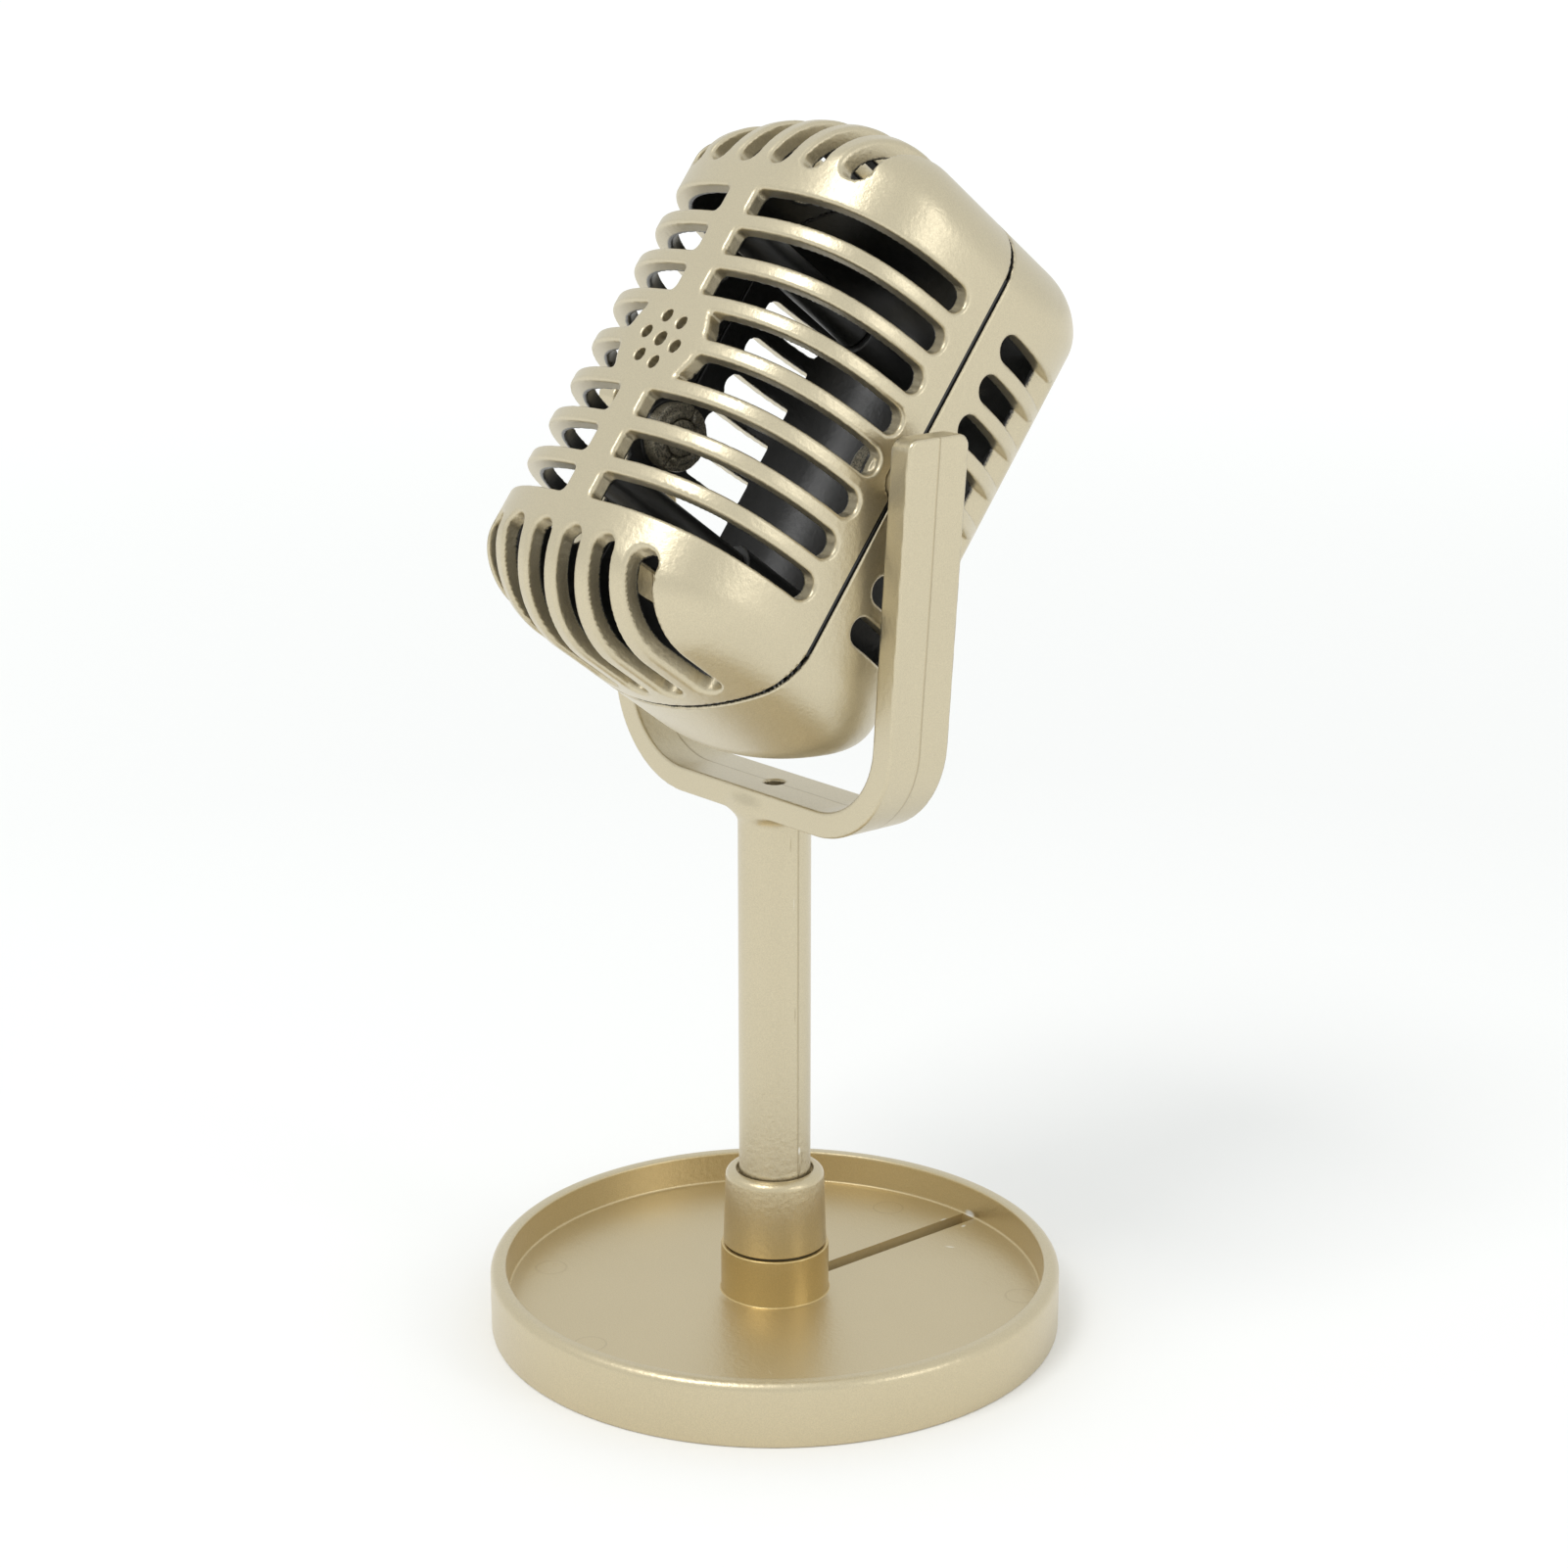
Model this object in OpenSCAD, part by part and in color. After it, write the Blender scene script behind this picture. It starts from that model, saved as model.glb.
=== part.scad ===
// Desk prop in the shape of a vintage stage microphone.
// A slotted two-part head turns on pegs in a U-shaped yoke, and the yoke's stem turns in the foot
// of a round dish base.  +Z is up, the head faces -Y, and the origin is the centre of the underside.

/* [Base dish] */
// Outer diameter of the base
base_d = 95; // [80:1:120]
// Height of the rim
base_h = 10.7; // [9.5:0.1:16]
// Radial width of the rim
rim_w = 2.7; // [2:0.1:5]
// Height of the dish floor's upper face
floor_top = 5; // [4.5:0.1:6]
// Thickness of the dish floor
floor_t = 2; // [1.5:0.1:2.5]
// Rounding of the rim's outer edge
rim_round = 1.5; // [0.5:0.1:1.8]
// Width of the straight slot through the dish floor
slot_w = 3; // [2:0.1:5]
// How far the hub ring stands out past the bottom of the foot
hub_ledge = 0.4; // [0.2:0.1:2]
// Height of the hub ring's top face
hub_top = 13.3; // [12:0.1:16]

/* [Stem and foot] */
// Diameter of the stem
stem_d = 11.9; // [10:0.1:14]
// Diameter of the core hole along the stem
core_d = 3.4; // [3:0.1:4]
// Length of stem between the top of the foot and the yoke
stem_rise = 62.2; // [40:1:90]
// Wall of the foot round the stem, at the top
foot_wall = 2.25; // [1.8:0.05:3.5]
// How much thicker the foot is at its bottom
foot_taper = 0.4; // [0:0.1:1]
// Height of the foot above the hub ring
foot_h = 13.3; // [10:0.1:18]
// Radial running clearance of the stem in the foot
stem_clearance = 0.06; // [0.02:0.01:0.1]
// Width of the open groove round the stem at the mouth of the foot
mouth_gap = 0.45; // [0.2:0.05:0.8]

/* [Yoke] */
// Thickness of the yoke's legs and bar
yoke_t = 4.2; // [3:0.1:6]
// Outward lean of each leg, in degrees
leg_splay = 4.3; // [2:0.1:6]
// Inner radius of the yoke's lower corners
yoke_bend = 13.6; // [8:0.1:16]
// Gap between the head's side and the leg where the bend begins
leg_gap = 0.6; // [0.5:0.1:2]
// Height of the leg above the pivot
leg_above = 7.8; // [7:0.1:12]
// Rounding of the leg's top corners
leg_round = 2; // [1:0.1:4]
// Diameter of the pivot pegs
peg_d = 6; // [4:0.1:7]
// Radial running clearance of the pegs in the head
peg_clearance = 0.08; // [0.02:0.01:0.1]
// Gap between the yoke's bar and the circle that the head's corner sweeps
swing_gap = 0.4; // [0.4:0.1:5]

/* [Head] */
// Width of the head
head_w = 59; // [48:1:72]
// Height of the head
head_h = 93.2; // [80:1:112]
// Depth of each half shell from the parting plane
shell_depth = 29.9; // [25:0.1:36]
// Wall thickness of the shells
wall = 2.8; // [2:0.1:3.5]
// Radius of the crowned top and bottom edges, seen from the front
crown_r = 49; // [45:1:70]
// Radius of the head's corners, seen from the front
corner_r = 8; // [5:0.5:10]
// Radius of the top and bottom edges, seen from the side
edge_r = 16.5; // [12:0.5:20]
// Height of the head's middle above its pivot
head_lift = 2.9; // [0:0.1:6]
// Backward lean of the head at rest, in degrees
lean = 37; // [0:1:60]
// Width of the groove round the head where the two shells meet
groove_w = 0.9; // [0.4:0.1:1.2]
// Depth of that groove
groove_depth = 0.9; // [0.4:0.1:1.2]

/* [Grille] */
// Number of side slots in each column
slot_rows = 8; // [8:2:8]
// Distance between side slots
slot_pitch = 7.05; // [6.5:0.05:8]
// Height of a side slot
slot_h = 4.45; // [3:0.05:5]
// Width of the spine between the two columns of slots
spine_w = 6.4; // [6:0.1:10]
// Solid border between the slots and the parting plane
slot_border = 5; // [4:0.1:8]
// Radius of the solid disc at the middle of the spine
disc_r = 9.2; // [8:0.1:11]
// Number of slots over the top corner, and over the bottom corner
end_slots = 6; // [2:2:6]
// Distance between the end slots
end_pitch = 7.3; // [6.5:0.1:8]
// Width of an end slot
end_slot_w = 4.4; // [3:0.1:4.8]
// Height above the middle of the head where the end slots begin
end_start = 31.6; // [30:0.1:36]
// Border between the end slots and the parting plane
end_border = 3.4; // [3:0.1:8]
// Diameter of the six holes round the middle one
ring_hole_d = 2.1; // [1.5:0.1:2.6]
// Diameter of the middle hole
mid_hole_d = 2.4; // [1.5:0.1:3]
// Radius of the ring of holes
ring_hole_r = 4.1; // [3.6:0.1:6]
// Turn of the ring of holes, in degrees
ring_turn = 12; // [0:1:59]
// Distance from the parting plane to the slots of the back shell
back_slot_start = 5.1; // [4:0.1:8]
// Depth of wall, from the side, that the back shell's slots cut away
back_slot_depth = 5.2; // [4:0.1:8]

/* [Fasteners] */
// Diameter of the front shell's screw posts
post_d = 6; // [5.5:0.1:6.4]
// Distance of the screw posts above and below the middle of the head
post_spread = 21.6; // [12:0.1:24]
// How far the front posts reach past the parting plane
post_reach = 2.5; // [1:0.1:5]
// Diameter of the shell screws' shanks
shell_screw_d = 2.6; // [2:0.1:3]
// Diameter of the shell screws' heads
shell_head_d = 4.8; // [4:0.1:5.5]
// Length of the shell screws below their heads
shell_screw_l = 12; // [8:1:16]
// Diameter of the base screw's shank
base_screw_d = 4; // [3.6:0.1:4.2]
// Length of the base screw below its head
base_screw_l = 22; // [18:1:26]
// Diameter of the washer
washer_d = 9.6; // [8:0.1:10]
// Thickness of the washer
washer_t = 0.8; // [0.5:0.1:1.2]

/* [Hidden] */
$fn = 96;
gold = [0.80, 0.75, 0.62];
black = [0.06, 0.06, 0.06];
steel = [0.62, 0.62, 0.60];
eps = 0.01;
play = 0.3;
parting_gap = 0.1;

base_r = base_d / 2;
stem_r = stem_d / 2;
hub_r = stem_d / 2 + foot_wall + foot_taper + hub_ledge;
floor_bottom = floor_top - floor_t;

// The hub holds the foot's spigot, and its web carries the washer from below.
web_t = 2.5;
web_top = floor_top + 2;
web_bottom = web_top - web_t;
spigot_r = hub_r - 2.6;
spigot_clearance = 0.05;
recess_r = washer_d / 2 + 0.3;
boss_bottom = 0.8;
screw_hole_r = base_screw_d / 2 + 0.3;
base_head_r = base_screw_d / 2 + 1.4;
base_head_h = 2.2;

foot_top = hub_top + foot_h;
foot_round = 1.4;
foot_seat = hub_top + 3;
mouth_depth = 1.2;
foot_top_r = stem_r + foot_wall;
foot_bottom_r = foot_top_r + foot_taper;

stem_bottom = foot_seat + play;
bar_bottom = foot_top + stem_rise;
bar_top = bar_bottom + yoke_t;
stem_fillet = 2.2;

head_r_reach = norm([shell_depth - edge_r, head_h / 2 - edge_r + head_lift]) + edge_r;
pivot_z = bar_top + head_r_reach + swing_gap;

// The legs start where the bend ends, clear of the head's side, and lean out from there.
bend_z = bar_top + yoke_bend;
bend_outer = yoke_bend + yoke_t;
bend_x = head_w / 2 + leg_gap - yoke_bend * cos(leg_splay);
leg_top = pivot_z + leg_above;
function leg_x(z, bend) =
    bend_x + bend * cos(leg_splay) + (z - bend_z + bend * sin(leg_splay)) * tan(leg_splay);

// The pegs pass through the head's sides into saddles on the shells.
saddle_t = 2.2;
saddle_x = head_w / 2 - wall - saddle_t - 1;
saddle_r = peg_d / 2 + 2.6;
peg_end = saddle_x - 0.6;
peg_hole_r = peg_d / 2 + peg_clearance;

slot_end_r = 1.1;
reach = head_w + head_h;
mid_slots = [slot_rows / 2 - 1, slot_rows / 2];
head_screw_seat = post_reach + 3;
back_post_d = shell_head_d + 3.4;

// Half width and half height of the shell at a distance from the parting plane.
bulge = 2.95;
function shell_x(depth, inset) =
    (head_w / 2 - inset) * pow(max(0, 1 - pow(depth / (shell_depth - inset), bulge)), 1 / bulge);
function shell_z(depth, inset) =
    let (r = edge_r - inset, past = max(0, depth - (shell_depth - edge_r)))
    head_h / 2 - edge_r + sqrt(max(0, r * r - past * past));

// A front outline: crowned top and bottom, straight sides and round corners.
function quarter(a, b, inset) =
    let (big = crown_r - inset,
         small = min(corner_r - inset, 0.45 * a),
         turn = asin((a - small) / (big - small)),
         cx = a - small,
         cy = b - big + (big - small) * cos(turn))
    concat([for (i = [0:5]) [big * sin(turn * i / 6), b - big + big * cos(turn * i / 6)]],
           [for (i = [0:5]) let (t = turn + (90 - turn) * i / 5) [cx + small * sin(t), cy + small * cos(t)]]);
function flipped(q) = [for (i = [len(q) - 1:-1:0]) [q[i][0], -q[i][1]]];
function mirrored(q) = [for (i = [len(q) - 2:-1:1]) [-q[i][0], q[i][1]]];
function outline(a, b, inset) =
    let (q = quarter(a, b, inset), right = concat(q, flipped(q)))
    concat(right, mirrored(right));
function ring(depth, inset) =
    [for (p = outline(shell_x(depth, inset), shell_z(depth, inset), inset)) [p[0], -depth, p[1]]];

// One half of the head's solid, on the front side of the parting plane, from rings of one size after another.
module half_solid(inset) {
    stations = [0, 0.2, 0.38, 0.52, 0.64, 0.74, 0.82, 0.88, 0.93, 0.965, 0.985, 0.996];
    rings = [for (s = stations) ring(s * (shell_depth - inset), inset)];
    n = len(rings[0]);
    last = (len(rings) - 1) * n;
    sides = [for (k = [0:len(rings) - 2])
                 for (i = [0:n - 1])
                     let (p = k * n + i, q = k * n + (i + 1) % n)
                     each [[p, q, q + n], [p, q + n, p + n]]];
    ends = [[for (i = [n - 1:-1:0]) i], [for (i = [0:n - 1]) last + i]];
    polyhedron([for (r = rings) for (p = r) p], concat(sides, ends));
}

module half_shell() {
    difference() {
        half_solid(0);
        half_solid(wall);
        translate([-reach / 2, -parting_gap / 2, -reach / 2]) cube([reach, reach, reach]);
        rotate([90, 0, 0])
            linear_extrude(groove_w, center = true)
                difference() {
                    square(reach, center = true);
                    polygon(outline(shell_x(0, groove_depth), shell_z(0, groove_depth), groove_depth));
                }
    }
}

// Everything on the head is drawn round the middle of the head, then lifted and leaned on its pivot.
module on_head() {
    translate([0, 0, pivot_z]) rotate([-lean, 0, 0]) translate([0, 0, head_lift]) children();
}

module both_sides() {
    children();
    mirror([1, 0, 0]) children();
}

// A stadium with one round end, running from the origin along +X in the XY plane.
module round_ended(length, width) {
    translate([width / 2, 0]) circle(d = width);
    translate([width / 2, -width / 2]) square([length, width]);
}

function slot_z(i) = (i - (slot_rows - 1) / 2) * slot_pitch;
function end_x(i) = (i - (end_slots - 1) / 2) * end_pitch;

// A side slot of the front shell, from the spine round to a round end near the parting plane.
module side_slot(start) {
    intersection() {
        translate([start, -reach / 2, -slot_h / 2]) cube([reach, reach, slot_h]);
        translate([0, -slot_border, 0])
            rotate([90, 0, 90])
                linear_extrude(reach)
                    mirror([1, 0]) round_ended(reach, slot_h);
    }
}

// An end slot of the front shell, over the top corner from its round upper end.
module end_slot() {
    intersection() {
        translate([0, 0, end_start])
            rotate([90, 0, 0])
                linear_extrude(reach)
                    rotate(90) round_ended(reach, end_slot_w);
        translate([0, -end_border, 0])
            linear_extrude(reach)
                rotate(-90) round_ended(reach, end_slot_w);
    }
}

module front_openings() {
    both_sides() {
        for (i = [0:slot_rows - 1])
            translate([0, 0, slot_z(i)])
                if (i == mid_slots[0] || i == mid_slots[1])
                    difference() {
                        side_slot(spine_w / 2);
                        translate([0, 0, -slot_z(i)]) rotate([90, 0, 0]) cylinder(h = reach, r = disc_r);
                    }
                else
                    side_slot(spine_w / 2);
    }
    for (i = [0:end_slots - 1])
        translate([end_x(i), 0, 0]) {
            end_slot();
            mirror([0, 0, 1]) end_slot();
        }
    rotate([90, 0, 0]) cylinder(h = reach, d = mid_hole_d, $fn = 48);
    for (k = [0:5])
        rotate([0, ring_turn + 60 * k, 0])
            translate([ring_hole_r, 0, 0])
                rotate([90, 0, 0]) cylinder(h = reach, d = ring_hole_d, $fn = 48);
}

// The back shell's slots are cut straight in from each side to one depth.
module back_openings() {
    both_sides()
        for (i = [0:slot_rows - 1])
            translate([head_w / 2 - back_slot_depth, back_slot_start, slot_z(i)])
                rotate([90, 0, 90])
                    linear_extrude(reach)
                        round_ended(reach, slot_h);
}

// Half of the round saddle inside each side wall, which holds a peg at the parting plane.
module saddles() {
    both_sides()
        intersection() {
            translate([saddle_x, 0, -head_lift])
                rotate([0, 90, 0]) cylinder(h = head_w / 2 - wall / 2 - saddle_x, r = saddle_r, $fn = 64);
            translate([0, -reach, -reach / 2]) cube([reach, reach - parting_gap / 2, reach]);
        }
}

module peg_bores() {
    translate([-reach / 2, 0, -head_lift]) rotate([0, 90, 0]) cylinder(h = reach, r = peg_hole_r);
}

module at_posts() {
    for (z = [-post_spread, post_spread]) translate([0, 0, z]) children();
}

// Points round an arc of an outline, every 15 degrees from one angle to another.
function arc_points(across, up, r, from, to) =
    [for (t = [from:(from < to ? 15 : -15):to]) [across + r * cos(t), up + r * sin(t)]];

module base_dish() {
    rim_in = base_r - rim_w;
    profile = concat(
        [[rim_in, 0], [base_r, 0]],
        arc_points(base_r - rim_round, base_h - rim_round, rim_round, 0, 90),
        [[rim_in + 0.3, base_h], [rim_in, base_h - 0.3], [rim_in, floor_top], [hub_r, floor_top],
         [hub_r, hub_top], [spigot_r + spigot_clearance, hub_top], [spigot_r + spigot_clearance, web_top],
         [screw_hole_r, web_top], [screw_hole_r, web_bottom], [recess_r, web_bottom],
         [recess_r, boss_bottom], [hub_r, boss_bottom], [hub_r, floor_bottom], [rim_in, floor_bottom]]);
    color(gold)
        difference() {
            rotate_extrude() polygon(profile);
            translate([-slot_w / 2, hub_r + 0.2, floor_bottom - 1])
                cube([slot_w, rim_in - hub_r - 0.4, floor_t + 2]);
        }
}

module stem_foot() {
    socket_r = stem_r + stem_clearance;
    mouth_r = stem_r + mouth_gap;
    profile = concat(
        [[screw_hole_r, web_top], [spigot_r, web_top], [spigot_r, hub_top], [foot_bottom_r, hub_top],
         [foot_top_r, foot_top - foot_round]],
        arc_points(foot_top_r - foot_round, foot_top - foot_round, foot_round, 15, 90),
        [[mouth_r, foot_top], [mouth_r, foot_top - mouth_depth], [socket_r, foot_top - mouth_depth],
         [socket_r, foot_seat], [screw_hole_r, foot_seat]]);
    color(gold) rotate_extrude() polygon(profile);
}

module base_washer() {
    color(steel)
        translate([0, 0, web_bottom - washer_t])
            difference() {
                cylinder(h = washer_t, d = washer_d);
                translate([0, 0, -1]) cylinder(h = washer_t + 2, r = screw_hole_r);
            }
}

// A pan-head screw with its head's underside at the origin, pointing along +Z.
module pan_screw(shank_d, length, head_r, head_h) {
    difference() {
        union() {
            translate([0, 0, -eps]) cylinder(h = length - shank_d / 2 + eps, d = shank_d, $fn = 48);
            translate([0, 0, length - shank_d / 2])
                cylinder(h = shank_d / 2, r1 = shank_d / 2, r2 = 0.3, $fn = 48);
            translate([0, 0, -head_h]) cylinder(h = head_h, r = head_r, $fn = 48);
        }
        for (turn = [0, 90])
            rotate(turn) translate([-head_r * 0.6, -0.4, -head_h - 1]) cube([head_r * 1.2, 0.8, 2]);
    }
}

module base_screw() {
    color(steel)
        translate([0, 0, web_bottom - washer_t - play])
            pan_screw(base_screw_d, base_screw_l, base_head_r, base_head_h);
}

function bend_arc(r, from, to) =
    [for (i = [0:12]) let (t = from + (to - from) * i / 12) [bend_x + r * cos(t), bend_z + r * sin(t)]];

// The leg seen from the side, with its top corners rounded.
function leg_side() =
    let (y = stem_r - leg_round, z = leg_top - leg_round)
    concat([[-stem_r, bar_bottom - 1], [stem_r, bar_bottom - 1]],
           arc_points(y, z, leg_round, 0, 90),
           arc_points(-y, z, leg_round, 90, 180));

module yoke_stem() {
    outer = concat(bend_arc(bend_outer, -90, -leg_splay), [[leg_x(leg_top, bend_outer), leg_top]]);
    inner = concat([[leg_x(leg_top, yoke_bend), leg_top]], bend_arc(yoke_bend, -leg_splay, -90));
    half = concat([[0, bar_bottom]], outer, inner, [[0, bar_top]]);
    color(gold)
        difference() {
            union() {
                intersection() {
                    both_sides() rotate([90, 0, 0]) linear_extrude(stem_d, center = true) polygon(half);
                    translate([-reach / 2, 0, 0])
                        rotate([90, 0, 90]) linear_extrude(reach) polygon(leg_side());
                }
                translate([0, 0, stem_bottom])
                    cylinder(h = bar_top - stem_bottom - yoke_t / 2, r = stem_r - eps);
                stem_fillets();
                both_sides()
                    translate([peg_end, 0, pivot_z])
                        rotate([0, 90, 0]) cylinder(h = leg_x(pivot_z, yoke_bend) + 1 - peg_end, d = peg_d);
            }
            translate([0, 0, stem_bottom - 1]) cylinder(h = bar_top - stem_bottom + 2, d = core_d);
        }
}

// Small fillets where the bar runs into the stem, seen from the front.
module stem_fillets() {
    edge = stem_r - 0.4;
    low = bar_bottom - stem_fillet;
    both_sides()
        rotate([90, 0, 0])
            linear_extrude(stem_r, center = true)
                polygon(concat([[edge - 2, bar_bottom + 1], [edge - 2, low], [edge, low]],
                               arc_points(stem_r + stem_fillet, low, stem_fillet, 180, 90),
                               [[stem_r + stem_fillet, bar_bottom + 1]]));
}

module front_shell() {
    color(gold)
        on_head()
            difference() {
                union() {
                    difference() {
                        half_shell();
                        front_openings();
                    }
                    saddles();
                    at_posts() front_post();
                }
                peg_bores();
                at_posts()
                    translate([0, post_reach + 1, 0])
                        rotate([90, 0, 0]) cylinder(h = 12, r = shell_screw_d / 2 - 0.2);
            }
}

// A post from the inside of the spine to just behind the parting plane.
module front_post() {
    translate([0, post_reach, 0])
        rotate([90, 0, 0]) cylinder(h = post_reach + shell_depth - wall / 2, d = post_d, $fn = 48);
}

// A tube from the back wall that meets the front post, with a seat inside for the screw's head.
module back_post() {
    translate([0, shell_depth - wall / 2, 0])
        rotate([90, 0, 0]) cylinder(h = shell_depth - wall / 2 - post_reach, d = back_post_d, $fn = 48);
}

module back_post_bore() {
    translate([0, head_screw_seat, 0])
        rotate([-90, 0, 0]) cylinder(h = shell_depth, r = shell_head_d / 2 + 0.2, $fn = 48);
    translate([0, head_screw_seat + 1, 0])
        rotate([90, 0, 0]) cylinder(h = head_screw_seat + 2, r = shell_screw_d / 2 + 0.2, $fn = 48);
}

module back_shell() {
    color(gold)
        on_head()
            difference() {
                union() {
                    difference() {
                        mirror([0, 1, 0]) half_shell();
                        back_openings();
                    }
                    mirror([0, 1, 0]) saddles();
                    at_posts() back_post();
                }
                peg_bores();
                at_posts() back_post_bore();
            }
}

module shell_screw(z) {
    color(steel)
        on_head()
            translate([0, head_screw_seat, z])
                rotate([90, 0, 0]) pan_screw(shell_screw_d, shell_screw_l, shell_head_d / 2, 1.8);
}

module upper_shell_screw() shell_screw(post_spread);
module lower_shell_screw() shell_screw(-post_spread);

base_dish();
stem_foot();
base_washer();
base_screw();
yoke_stem();
front_shell();
back_shell();
upper_shell_screw();
lower_shell_screw();
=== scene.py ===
import math
from itertools import product

import bpy
import numpy as np
from mathutils import Matrix, Vector


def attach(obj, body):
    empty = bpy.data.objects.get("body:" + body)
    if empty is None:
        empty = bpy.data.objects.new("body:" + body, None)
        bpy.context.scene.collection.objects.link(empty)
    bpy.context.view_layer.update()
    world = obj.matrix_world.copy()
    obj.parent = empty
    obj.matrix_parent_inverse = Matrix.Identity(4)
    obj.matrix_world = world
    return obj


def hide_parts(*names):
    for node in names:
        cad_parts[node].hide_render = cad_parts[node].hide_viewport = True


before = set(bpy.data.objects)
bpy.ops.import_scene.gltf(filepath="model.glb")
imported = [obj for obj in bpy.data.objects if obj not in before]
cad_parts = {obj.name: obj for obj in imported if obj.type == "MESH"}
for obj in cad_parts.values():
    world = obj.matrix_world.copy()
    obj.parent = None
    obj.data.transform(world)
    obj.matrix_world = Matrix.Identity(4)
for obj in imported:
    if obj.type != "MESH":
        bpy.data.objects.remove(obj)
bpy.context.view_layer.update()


# ---------------------------------------------------------------------------
# Camera.  It stands half a metre from the stem, to the right of the head's
# front and a little above it, and looks down at the middle of the object.
camera = bpy.data.objects.new("camera", bpy.data.cameras.new("camera"))
bpy.context.scene.collection.objects.link(camera)
bpy.context.scene.camera = camera
camera.data.sensor_width = 36
camera.data.lens = 69.5
camera.data.clip_start = 0.01
camera.location = (0.35885, -0.29879, 0.22432)
side_turn, look_down = math.radians(50.03), math.radians(15.75)
line_of_sight = Vector((-math.sin(side_turn) * math.cos(look_down),
                        math.cos(side_turn) * math.cos(look_down),
                        -math.sin(look_down)))
camera.rotation_euler = line_of_sight.to_track_quat("-Z", "Y").to_euler()


# ---------------------------------------------------------------------------
# Studio.  A white table that glows a little in the distance, one broad soft
# light high in front, a weaker one low on the right, and pale walls.
def softbox(name, place, aim, width, height, power):
    light = bpy.data.objects.new(name, bpy.data.lights.new(name, "AREA"))
    bpy.context.scene.collection.objects.link(light)
    light.data.shape = "RECTANGLE"
    light.data.size = width
    light.data.size_y = height
    light.data.energy = power
    light.location = place
    light.rotation_euler = (Vector(aim) - Vector(place)).to_track_quat("-Z", "Y").to_euler()


def node(tree, kind, place, **settings):
    """A new node at a place, with its settings and the values of its named inputs."""
    made = tree.nodes.new(kind)
    made.location = place
    for key, value in settings.items():
        if key == "inputs":
            for socket, content in value.items():
                made.inputs[socket].default_value = content
        else:
            setattr(made, key, value)
    return made


softbox("front_softbox", (0.05, -0.60, 1.04), (0, 0, 0.12), 0.42, 0.38, 3.6)
softbox("right_softbox", (0.93, 0.25, 0.44), (0, 0, 0.12), 0.26, 0.4, 0.85)

walls = bpy.data.worlds.new("white_walls")
bpy.context.scene.world = walls
walls.use_nodes = True
walls.node_tree.nodes["Background"].inputs["Color"].default_value = (0.98, 1.0, 0.995, 1)
walls.node_tree.nodes["Background"].inputs["Strength"].default_value = 0.86

card = bpy.data.meshes.new("white_card")
card.from_pydata([(-40, -40, 0), (40, -40, 0), (40, 40, 0), (-40, 40, 0)], [], [(0, 1, 2, 3)])
white_card = bpy.data.objects.new("white_card", card)
bpy.context.scene.collection.objects.link(white_card)
card_paint = bpy.data.materials.new("white_card")
card_paint.use_nodes = True
card_shader = card_paint.node_tree.nodes["Principled BSDF"]
card_shader.inputs["Base Color"].default_value = (0.93, 0.93, 0.925, 1)
card_shader.inputs["Roughness"].default_value = 0.9
card_shader.inputs["Specular IOR Level"].default_value = 0.1
card_shader.inputs["Emission Strength"].default_value = 0.24
card_tree = card_paint.node_tree
card_where = node(card_tree, "ShaderNodeTexCoord", (-800, 0))
card_reach = node(card_tree, "ShaderNodeVectorMath", (-600, 0), operation="LENGTH")
card_glow = node(card_tree, "ShaderNodeMapRange", (-400, 0),
                 inputs={"From Min": 0.35, "From Max": 1.4, "To Min": 0.1, "To Max": 1.0})
card_tree.links.new(card_where.outputs["Object"], card_reach.inputs[0])
card_tree.links.new(card_reach.outputs["Value"], card_glow.inputs["Value"])
card_tree.links.new(card_glow.outputs["Result"], card_shader.inputs["Emission Color"])
card.materials.append(card_paint)
bpy.context.scene.view_settings.view_transform = "Standard"


# ---------------------------------------------------------------------------
# Base dish.  A round tray moulded in black plastic and sprayed champagne gold
# on its upper side: a rim, a flat floor with one straight slot, and a hub ring.
def lathe(name, profile, steps=288):
    """Turns a closed outline of (radius, height) points in millimetres round the stem's axis.
    The outline runs anticlockwise, with the axis on its left."""
    places, faces = [], []
    count = len(profile)
    for k in range(steps):
        turn = 2 * math.pi * k / steps
        for radius, height in profile:
            places.append((radius * math.cos(turn) / 1000, radius * math.sin(turn) / 1000, height / 1000))
    for k in range(steps):
        here, there = k * count, (k + 1) % steps * count
        for i in range(count):
            j = (i + 1) % count
            faces.append((here + i, there + i, there + j, here + j))
    mesh = bpy.data.meshes.new(name)
    mesh.from_pydata(places, [], faces)
    return mesh


def corner(middle, radius, start, end, steps=6):
    """Points round an arc of an outline, from one angle in degrees to another."""
    return [(middle[0] + radius * math.cos(math.radians(start + (end - start) * i / steps)),
             middle[1] + radius * math.sin(math.radians(start + (end - start) * i / steps)))
            for i in range(steps + 1)]


def link(name, mesh, body, slot, *nodes):
    """Puts a finished mesh on its body, in place of the CAD nodes it stands for."""
    piece = bpy.data.objects.new(name, mesh)
    bpy.context.scene.collection.objects.link(piece)
    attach(piece, body)
    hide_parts(*nodes)
    return piece


def shade_by_angle(mesh, degrees):
    """Smooth faces, with a hard line where two faces meet more steeply than the angle."""
    mesh.polygons.foreach_set("use_smooth", [True] * len(mesh.polygons))
    mesh.set_sharp_from_angle(angle=math.radians(degrees))


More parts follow.
